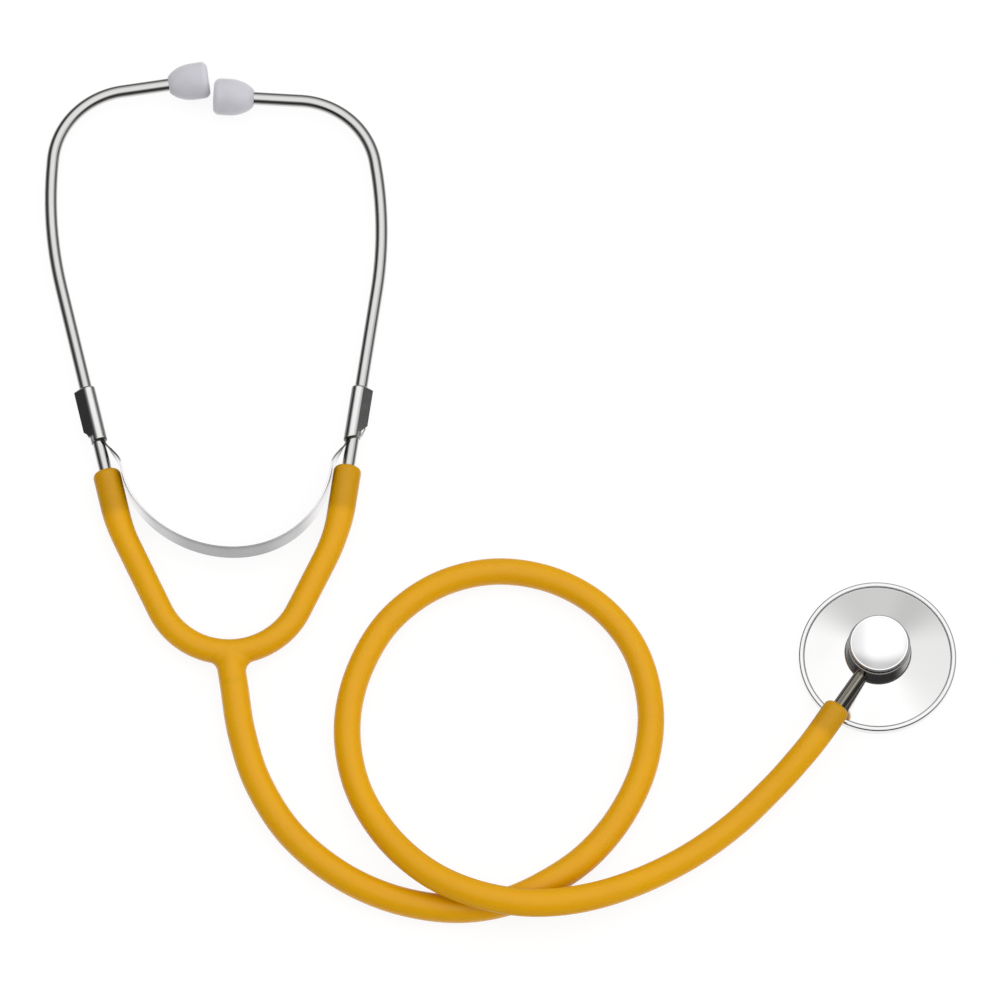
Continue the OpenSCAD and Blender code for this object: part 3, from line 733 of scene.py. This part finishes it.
def make_ear_tip(side):
    """Soft ear tip: a rounded back, widest in front of the middle, with a sound hole in front."""
    back_len = TIP_BACK / math.sqrt(1 - (TIP_BACK_R / TIP_R) ** 2)
    start = math.acos(-TIP_BACK / back_len)
    back = [
        (TIP_R * math.sin(a), TIP_BACK + back_len * math.cos(a)) for a in np.linspace(start, math.pi / 2, 28)
    ]
    front = arc((TIP_R - TIP_ROUND, TIP_LEN - TIP_ROUND), TIP_ROUND, 0, 90, 14)
    edge, slack = 0.35, 0.1
    hole = arc((TIP_HOLE_R + edge, TIP_LEN - edge), edge, 90, 180, 6)
    socket_r, socket_end, hole_end = EAR_TUBE_R + 0.05, TIP_SOCKET + slack, TIP_SOCKET + 0.5
    profile = crisp([(0, socket_end), (socket_r, socket_end), (socket_r, slack)]) + crisp(
        back + front[1:] + hole + [(TIP_HOLE_R, hole_end), (0, hole_end)]
    )
    flat, heading = ear_line(side, 0)
    base, nose = ear_place(side, with_height(np.array([flat[-1], flat[-1] + ahead(heading)]), 0))
    points, faces = lathe(profile, base, nose - base, TIP_SIDES)
    tip = new_object(SIDE_NAME[side] + "_tip_soft",
                     mesh_from(SIDE_NAME[side] + "_tip_soft", points, faces, MILKY_TIP))
    dress(tip, SIDE_NAME[side] + "_tip", "soft_tip", SIDE_NAME[side] + "_ear_tip")


def spring_round():
    """Middle, half width and half height of the ellipse that the leaf spring's round follows."""
    mouths = {side: mouth_at(side) for side in (LEFT, RIGHT)}
    ends = [
        (mouths[side][0] + SLEEVE_R * side * leftward(mouths[side][1]))[0] - side * (STRIP_GAP + SPRING_T / 2)
        for side in (LEFT, RIGHT)
    ]
    top_y = (mouths[LEFT][0][1] + mouths[RIGHT][0][1]) / 2 + SPRING_RISE
    half_w = (ends[1] - ends[0]) / 2 / math.cos(ROUND_FROM)
    return (ends[0] + ends[1]) / 2, top_y, half_w, SPRING_DROP / (1 - math.sin(ROUND_FROM))


def round_point(side, t):
    """Point of the spring's round, from its end by the arm to the bottom."""
    x, y, half_w, half_h = spring_round()
    first = math.pi + ROUND_FROM if side == LEFT else 2 * math.pi - ROUND_FROM
    a = first + (1.5 * math.pi - first) * t
    return np.array([
        x + half_w * math.cos(a),
        y + (math.sin(a) + math.sin(ROUND_FROM)) * (half_h + SPRING_SKEW * math.cos(a)),
    ])


def spring_stations(side):
    """Stations of half the leaf spring: place, twist from upright and half width."""
    mouth, heading = mouth_at(side)
    lean = math.radians(TONGUE_LEAN - EAR_ROLL)
    tongue_z = BINAURAL_Z + TONGUE_R * math.cos(lean)
    twist = math.pi / 2 - lean
    clip_end = mouth + (CLIP_FROM[side] - IN_ARM[side]) * ahead(heading)
    top = clip_end + TONGUE_R * math.sin(lean) * side * leftward(heading)
    foot = round_point(side, 0)
    up = foot - round_point(side, 0.001)
    up /= np.linalg.norm(up)
    stations = [
        (*(top + along * ahead(heading)), tongue_z, twist, TONGUE_W / 2)
        for along in np.linspace(TONGUE_IN, 0, 8, endpoint=False)
    ]
    corners = (top, top - SBEND_TOP * ahead(heading), foot + SBEND_FOOT * up, foot)
    for t in np.linspace(0, 1, 48, endpoint=False):
        weights = ((1 - t) ** 3, 3 * (1 - t) ** 2 * t, 3 * (1 - t) * t ** 2, t ** 3)
        place = sum(w * c for w, c in zip(weights, corners))
        wide = smoothstep((t - WIDEN_FROM) / (1 - WIDEN_FROM))
        stations.append((
            *place, tongue_z + (SPRING_Z - tongue_z) * smoothstep(t),
            twist * (1 - smoothstep(t / UPRIGHT_BY)), (TONGUE_W + (SPRING_W - TONGUE_W) * wide) / 2,
        ))
    stations += [(*round_point(side, t), SPRING_Z, 0, SPRING_W / 2) for t in np.linspace(0, 1, 90)]
    return np.array(stations)


def make_spring_half(side):
    """Half of the leaf spring, from the tubing's middle to its ear tube."""
    stations = spring_stations(side)
    plan = stations[:, :2]
    way = np.gradient(plan, axis=0)
    way[-1] = (-side, 0)
    way /= np.linalg.norm(way, axis=1)[:, None]
    if side == RIGHT:
        way = -way
    rings = []
    for (x, y, z, twist, half), (fx, fy) in zip(stations, way):
        outward, up = np.array([fy, -fx, 0]), np.array([0, 0, 1.0])
        wide = math.cos(twist) * up + math.sin(twist) * outward
        thick = math.cos(twist) * outward - math.sin(twist) * up
        outline = []
        for sx, sy, first in ((1, 1, 0), (-1, 1, 90), (-1, -1, 180), (1, -1, 270)):
            corner = (sx * (SPRING_T / 2 - STRIP_EDGE), sy * (half - STRIP_EDGE))
            outline += arc(corner, STRIP_EDGE, first, first + 90, 3)
        outline = crisp(outline + outline[:1])[:-1]
        rings.append([np.array([x, y, z]) + u * thick + v * wide for u, v in outline])
    name = SIDE_NAME[side] + "_spring_half"
    strip = rings_to_mesh(name, rings, SPRING_STEEL)
    strip.set_sharp_from_angle(angle=SMOOTH_BELOW)
    piece = new_object(name, strip)
    middle, end = round_point(side, 1), round_point(side, 0)
    bend_with(piece, "leaf_spring")


def clip_outline(lip_w, angles):
    """Distance of a clip's outline from the ear tube's axis: wrap, bulge over the spring and folded lip."""
    turn = angles + math.radians(TONGUE_LEAN)
    bulge = BULGE_OUT * np.cos(turn) + np.sqrt(BULGE_R ** 2 - (BULGE_OUT * np.sin(turn)) ** 2)
    turn = angles - math.radians(LIP_SLOPE)
    across, up = np.sin(turn), np.cos(turn)
    top = LIP_TOP / np.maximum(up, 1e-6)
    under = (LIP_TOP - LIP_T) / np.maximum(up, 1e-6)
    end = lip_w / np.maximum(across, 1e-6)
    touch = -math.atan(BULGE_OUT * math.sin(math.radians(LIP_SLOPE + TONGUE_LEAN)) / LIP_TOP)
    lip = np.where((turn > touch) & (up > 0) & (end > under), np.minimum(top, end), 0)
    return np.maximum(np.maximum(CLIP_R, bulge), lip)


def make_clip(side):
    """Sheet-metal clip round the ear tube and the spring's tongue, with a folded lip outside."""
    angles = np.linspace(-math.pi, math.pi, 360, endpoint=False)
    rim = [
        (CLIP_ROUND - CLIP_ROUND * math.cos(a), ROUND_SHARE * (1 - math.sin(a)))
        for a in np.linspace(0, math.pi / 2, 9)
    ]
    step = 0.02
    along = np.concatenate([
        np.linspace(CLIP_ROUND + step, LIP_FROM - step, 8),
        np.linspace(LIP_FROM + step, LIP_FROM + LIP_CUT, 24),
        np.linspace(LIP_FROM + LIP_CUT + step, CLIP_LEN - CLIP_ROUND - step, 40),
    ])
    stations = rim + [(x, 0) for x in along] + [(CLIP_LEN - x, inset) for x, inset in reversed(rim)]
    rings = []
    for x, inset in stations:
        lip_w = 0 if x < LIP_FROM else LIP_W - max(0, LIP_FROM + LIP_CUT - x)
        r = clip_outline(lip_w, angles)
        r = r - inset * (r - EAR_TUBE_R)
        y, z = -side * r * np.sin(angles), r * np.cos(angles)
        slant = CLIP_SLANT[side] * (1 - x / CLIP_LEN) * np.maximum(r * np.sin(angles) + CLIP_R, 0)
        rings.append(ear_place(side, np.column_stack([CLIP_FROM[side] + x + slant, y, z])))
    name = SIDE_NAME[side] + "_sheet_clip"
    sheet = rings_to_mesh(name, rings, CLIP_SHEET)
    # Painted shade: faces that look down the arm, at the clip's lower end and the lip's cut, get the second,
    # dark material.
    sheet.materials.append(CLIP_END_SHADE)
    down, facing = -ahead(mouth_at(side)[1]), 0.55
    for face in sheet.polygons:
        face.material_index = int(np.dot(face.normal[:2], down) > facing)
    sheet.set_sharp_from_angle(angle=SMOOTH_BELOW)
    clip = new_object(name, sheet)
    dress(clip, SIDE_NAME[side] + "_binaural", "chrome", SIDE_NAME[side] + "_clip")
    make_prong(side)


def make_prong(side):
    """Thin prong that is left beside the lip's cut corner, rounded off at its end."""
    slope, turn = math.radians(LIP_SLOPE), math.radians(PRONG_TURN)
    points = []
    for out in np.linspace(0, LIP_T + PRONG_LEN, 24):
        x = CLIP_FROM[side] + LIP_FROM + LIP_CUT + LIP_T - out * math.cos(turn)
        across, up = LIP_W - LIP_T / 2 - out * math.sin(turn), LIP_TOP - LIP_T / 2
        y = across * math.cos(slope) + up * math.sin(slope)
        points.append((x, -side * y, up * math.cos(slope) - across * math.sin(slope)))
    line = ear_place(side, points)
    radii = PRONG_R * np.sqrt(np.clip((len(line) - 0.8 - np.arange(len(line))) / 2, 0.05, 1))
    prong = tube(SIDE_NAME[side] + "_prong", line, radii, PRONG_SIDES, CLIP_SHEET)
    dress(prong, SIDE_NAME[side] + "_binaural", "chrome", SIDE_NAME[side] + "_clip")


def turned(name, profile, paint, node):
    points, faces = lathe(profile, (*CHEST_AT, 0), (0, 0, 1), TURNED_SIDES)
    piece = new_object(name, mesh_from(name, points, faces, paint))
    dress(piece, "chest_piece", "chrome", node)
    return piece


def make_chest_piece():
    """Turned disc with its hub, dished cap, clamping ring and stem."""
    body_r, body_z, cone_z, hub_z, hub_top = 22.2, 1.2, 2.6, 6.2, 13.4
    foot_r, top_r, foot_round, top_round, edge = 9.8, 9.4, 0.45, 0.3, 0.25
    chamber_r, chamber_z, bore_r = 19.5, 3.6, 1.3
    disc = [(0, chamber_z), (bore_r, chamber_z), (chamber_r, body_z), (body_r, body_z)]
    disc += [(body_r, cone_z - edge), (body_r - 0.08, cone_z - 0.07), (body_r - edge, cone_z + 0.05)]
    disc += arc((foot_r + foot_round, hub_z + foot_round), foot_round, 262, 184, 10)
    disc += arc((top_r - top_round, hub_top - top_round), top_round, 6, 90, 6) + [(0, hub_top)]
    body = turned("disc_and_hub", crisp(disc), POLISHED_DISC, "chest_body")
    # Painted shade: the hub above the disc gets a dark metal, standing in for the dark reflection and shadow
    # on its wall.
    body.data.materials.append(HUB_SHADE)
    for face in body.data.polygons:
        face.material_index = int(face.center.z > (hub_z + 0.1) * MM)

    cap_r, cap_z, edge_z, dish, neck_r, plug_r = 8.95, 14.1, 15.0, 1.5, 8.3, 5.5
    plug_z, bead, rim = 11.4, 0.3, 0.5
    cap = [(0, plug_z), (plug_r, plug_z), (plug_r, hub_top), (neck_r, hub_top), (neck_r, cap_z)]
    cap += arc((cap_r - bead, cap_z + bead), bead, -90, 0, 5)
    cap += arc((cap_r - rim, edge_z), rim, 0, 90 + math.degrees(math.atan(2 * dish / (cap_r - rim))), 14)
    dish_r, dish_z = cap[-1]
    cap += [(dish_r * t, dish_z - dish * (1 - t * t)) for t in np.linspace(1, 0, 40)[1:]]
    turned("dished_cap", crisp(cap), SATIN_CAP, "hub_cap")

    ring_r, ring_h, ring_round, ring_in, lip_r, lip_t = 23.75, 3.2, 0.7, 22.25, 19.65, 0.8
    inner = 0.3
    ring = [(lip_r, lip_t), (lip_r, 0.1), (lip_r + 0.1, 0)]
    ring += arc((ring_r - ring_round, ring_round), ring_round, 270, 360, 8)
    ring += arc((ring_r - ring_round, ring_h - ring_round), ring_round, 0, 90, 8)
    ring += arc((ring_in + inner, ring_h - inner), inner, 90, 180, 5)
    ring += [(ring_in, lip_t), (lip_r, lip_t)]
    turned("clamp_ring", crisp(ring), BRIGHT_CHROME, "diaphragm_ring")

    inner_end, outer_end = 5.2, HOSE_STOP + 10.5
    line = [stem_point(out) for out in np.linspace(inner_end, outer_end, 60)]
    stem = tube("stem_tube", line, np.full(len(line), STEM_R), METAL_TUBE_SIDES, STEM_METAL)
    dress(stem, "chest_piece", "chrome", "stem")

    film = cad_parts["diaphragm"].data
    film.materials.clear()
    film.materials.append(WHITE_FILM)


# Light and floor

def make_floor():
    """Pale table: it throws light back as paper does, the camera sees it nearly white with the object's
    shadow still on it, and the metal mirrors it white close by and dim further off."""
    span = 3.0
    corners = [(-span, -span, 0), (span, -span, 0), (span, span, 0), (-span, span, 0)]
    mesh = bpy.data.meshes.new("table")
    mesh.from_pydata(corners, [], [(0, 1, 2, 3)])
    paint = bpy.data.materials.new("pale_table")
    paint.use_nodes = True
    tree = paint.node_tree
    add = tree.nodes.new
    paper = tree.nodes["Principled BSDF"]
    shaded, glow, white = add("ShaderNodeBsdfDiffuse"), add("ShaderNodeEmission"), add("ShaderNodeAddShader")
    rays, seen, also = add("ShaderNodeLightPath"), add("ShaderNodeMath"), add("ShaderNodeMath")
    near, lit = add("ShaderNodeMapRange"), add("ShaderNodeMath")
    choice = add("ShaderNodeMixShader")
    paper.inputs["Base Color"].default_value = (0.8, 0.8, 0.8, 1)
    paper.inputs["Roughness"].default_value = 0.9
    paper.inputs["Specular IOR Level"].default_value = 0
    shaded.inputs["Color"].default_value = (SHADOW_SHARE, SHADOW_SHARE, SHADOW_SHARE, 1)
    near.interpolation_type = "SMOOTHSTEP"
    set_range(near, MIRRORED_FLOOR)
    lit.operation = "MAXIMUM"
    link(tree, rays.outputs["Ray Length"], near.inputs["Value"])
    link(tree, rays.outputs["Is Camera Ray"], lit.inputs[1])
    link(tree, near.outputs["Result"], lit.inputs[0])
    level = add("ShaderNodeMath")
    level.operation = "MULTIPLY"
    level.inputs[1].default_value = FLOOR_GLOW
    link(tree, lit.outputs[0], level.inputs[0])
    link(tree, level.outputs[0], glow.inputs["Strength"])
    seen.operation = also.operation = "MAXIMUM"
    link(tree, rays.outputs["Is Camera Ray"], seen.inputs[0])
    link(tree, rays.outputs["Is Glossy Ray"], seen.inputs[1])
    link(tree, seen.outputs[0], also.inputs[0])
    link(tree, rays.outputs["Is Transmission Ray"], also.inputs[1])
    link(tree, shaded.outputs[0], white.inputs[0])
    link(tree, glow.outputs[0], white.inputs[1])
    link(tree, also.outputs[0], choice.inputs[0])
    link(tree, paper.outputs[0], choice.inputs[1])
    link(tree, white.outputs[0], choice.inputs[2])
    link(tree, choice.outputs[0], tree.nodes["Material Output"].inputs["Surface"])
    mesh.materials.append(paint)
    floor = new_object("table", mesh)
    floor.location = (0, -0.03, -0.0002)


def make_world():
    """A dim studio: dark on the left and near sides, grey on the far right; white to the camera."""
    world = bpy.data.worlds.new("studio")
    bpy.context.scene.world = world
    world.use_nodes = True
    tree = world.node_tree
    add = tree.nodes.new
    place, rays, side = add("ShaderNodeTexCoord"), add("ShaderNodeLightPath"), add("ShaderNodeVectorMath")
    level, white = add("ShaderNodeMapRange"), add("ShaderNodeMath")
    sky = tree.nodes["Background"]
    side.operation, white.operation = "DOT_PRODUCT", "MAXIMUM"
    side.inputs[1].default_value = SKY_TOWARDS
    level.interpolation_type = "SMOOTHSTEP"
    set_range(level, SKY_LEVELS)
    sky.inputs["Color"].default_value = (1, 1, 1, 1)
    link(tree, place.outputs["Generated"], side.inputs[0])
    link(tree, side.outputs["Value"], level.inputs["Value"])
    link(tree, level.outputs["Result"], white.inputs[0])
    link(tree, rays.outputs["Is Camera Ray"], white.inputs[1])
    link(tree, white.outputs[0], sky.inputs["Strength"])


def make_soft_box():
    """A wide light panel overhead that fades out towards its edges, which only the metal sees."""
    (x0, _), (x1, _) = PANEL_ACROSS[0], PANEL_ACROSS[-1]
    (y0, _), (y1, _) = PANEL_ALONG[0], PANEL_ALONG[-1]
    mesh = bpy.data.meshes.new("soft_box")
    corners = ((x0, y0), (x0, y1), (x1, y1), (x1, y0))
    mesh.from_pydata([(x, y, PANEL_Z) for x, y in corners], [], [(0, 1, 2, 3)])
    paint = bpy.data.materials.new("soft_box_glow")
    paint.use_nodes = True
    tree = paint.node_tree
    tree.nodes.remove(tree.nodes["Principled BSDF"])
    place, split = tree.nodes.new("ShaderNodeTexCoord"), tree.nodes.new("ShaderNodeSeparateXYZ")
    level, glow = tree.nodes.new("ShaderNodeMath"), tree.nodes.new("ShaderNodeEmission")
    level.operation = "MULTIPLY"
    link(tree, place.outputs["Object"], split.inputs[0])
    link(tree, fade_along(tree, split.outputs["X"], PANEL_ACROSS), level.inputs[0])
    link(tree, fade_along(tree, split.outputs["Y"], PANEL_ALONG), level.inputs[1])
    link(tree, level.outputs[0], glow.inputs["Strength"])
    link(tree, glow.outputs[0], tree.nodes["Material Output"].inputs["Surface"])
    mesh.materials.append(paint)
    panel = new_object("soft_box", mesh)
    panel.visible_camera = panel.visible_diffuse = panel.visible_shadow = False


def make_fill(name, level, tilt):
    """Even light from a wide part of the sky, tilted from overhead about x and about y."""
    sky = bpy.data.lights.new(name, "SUN")
    sky.energy, sky.angle = level * math.pi, math.radians(FILL_WIDTH)
    fill = bpy.data.objects.new(name, sky)
    fill.rotation_euler = (math.radians(tilt[0]), math.radians(tilt[1]), 0)
    fill.visible_glossy = False
    bpy.context.scene.collection.objects.link(fill)


# The scene

TUBE_TREE, TUBE_SOCKETS = tube_tree()
PATCHY_POLISH = wear_group()
YELLOW_PVC = finish(
    "yellow_pvc", (0.77, 0.385, 0.001), (0.71, 0.345, 0.001), (60, 0.20, 0.28), 1400, (0.10, 0.04),
    Specular_IOR_Level=0.24, Subsurface_Weight=0.2, Subsurface_Scale=0.0025,
)
# Painted shade: the tubing is darkened where it is pulled over the stem and the ear tubes.
shade_tight_tubing(YELLOW_PVC, (0.78, 0.78, 0.72))
EAR_STEEL = metal("ear_steel", (0.73, 0.725, 0.715), (0.66, 0.655, 0.645), (90, 0.06, 0.12))
BRIGHT_CHROME = metal("bright_chrome", (0.88, 0.88, 0.88), (0.82, 0.82, 0.83), (90, 0.05, 0.10))
# Painted reflection: the stem's beige tint and the light and dark bands across it stand in for the yellow
# hose and the dark studio mirrored in it, and stay put when seen from other sides.
STEM_METAL = metal("stem_metal", (0.82, 0.77, 0.67), (0.74, 0.69, 0.58), (120, 0.08, 0.16))
paint_reflection_bands(STEM_METAL, CHEST_AT, ahead(STEM_TURN + 90), [
    (-0.002, 0.3), (-0.0014, 0.85), (-0.0009, 0.85), (-0.0005, 0.25), (0.0002, 0.2), (0.0006, 0.6),
    (0.0009, 0.2), (0.002, 0.2),
])
POLISHED_DISC = metal("polished_disc", (0.98, 0.975, 0.97), (0.95, 0.945, 0.94), (70, 0.10, 0.16))
# Painted shade: dark metal for the hub's wall, for its dark reflection and shadow.
HUB_SHADE = metal("hub_painted_shade", (0.46, 0.45, 0.44), (0.40, 0.39, 0.38), (90, 0.08, 0.14))
SATIN_CAP = metal("satin_cap", (0.985, 0.985, 0.985), (0.955, 0.955, 0.96), (120, 0.10, 0.15))
CLIP_SHEET = metal("clip_sheet", (0.84, 0.835, 0.83), (0.78, 0.775, 0.77), (160, 0.10, 0.18), 0.04)
# Painted shade: dark metal for the clips' faces that look down the arm.
CLIP_END_SHADE = metal("clip_end_painted_shade", (0.24, 0.24, 0.245), (0.18, 0.18, 0.185), (160, 0.30, 0.40), 0.04)
SPRING_STEEL = metal("spring_steel", (0.98, 0.97, 0.98), (0.90, 0.89, 0.90), (140, 0.16, 0.26), 0.04)
# Painted reflection and shade: the spring's light and dark bands, set by the distance from its middle, stand
# in for what it mirrors and the shade on it, and stay put when seen from other sides.
paint_reflection_bands(SPRING_STEEL, (spring_round()[0], 0), (1, 0), [
    (0, 0.37), (0.010, 0.38), (0.021, 0.56), (0.029, 0.98), (0.0325, 0.98), (0.035, 0.14), (0.045, 0.12),
], both_ways=True)
MILKY_TIP = finish(
    "milky_tip", (0.66, 0.65, 0.69), (0.50, 0.495, 0.54), (110, 0.32, 0.42), 1500, (0.08, 0.04),
    Subsurface_Weight=0.7, Subsurface_Scale=0.004, Subsurface_Radius=(1, 1, 1), Specular_IOR_Level=0.3,
    Sheen_Weight=0.7, Sheen_Roughness=0.4,
)
WHITE_FILM = finish(
    "white_film", (0.82, 0.82, 0.80), (0.77, 0.77, 0.75), (90, 0.30, 0.42), 1800, (0.08, 0.03),
    Specular_IOR_Level=0.5,
)

bpy.context.scene.view_settings.view_transform = "Standard"
set_camera()
make_hose()
make_fork()
for side in (LEFT, RIGHT):
    make_arm(side)
    make_ear_tube(side)
    make_ear_tip(side)
    make_clip(side)
    make_spring_half(side)
make_chest_piece()
make_floor()
make_world()
make_soft_box()
make_fill("top_fill", TOP_FILL, TOP_TILT)
make_fill("front_fill", FRONT_FILL, FRONT_TILT)
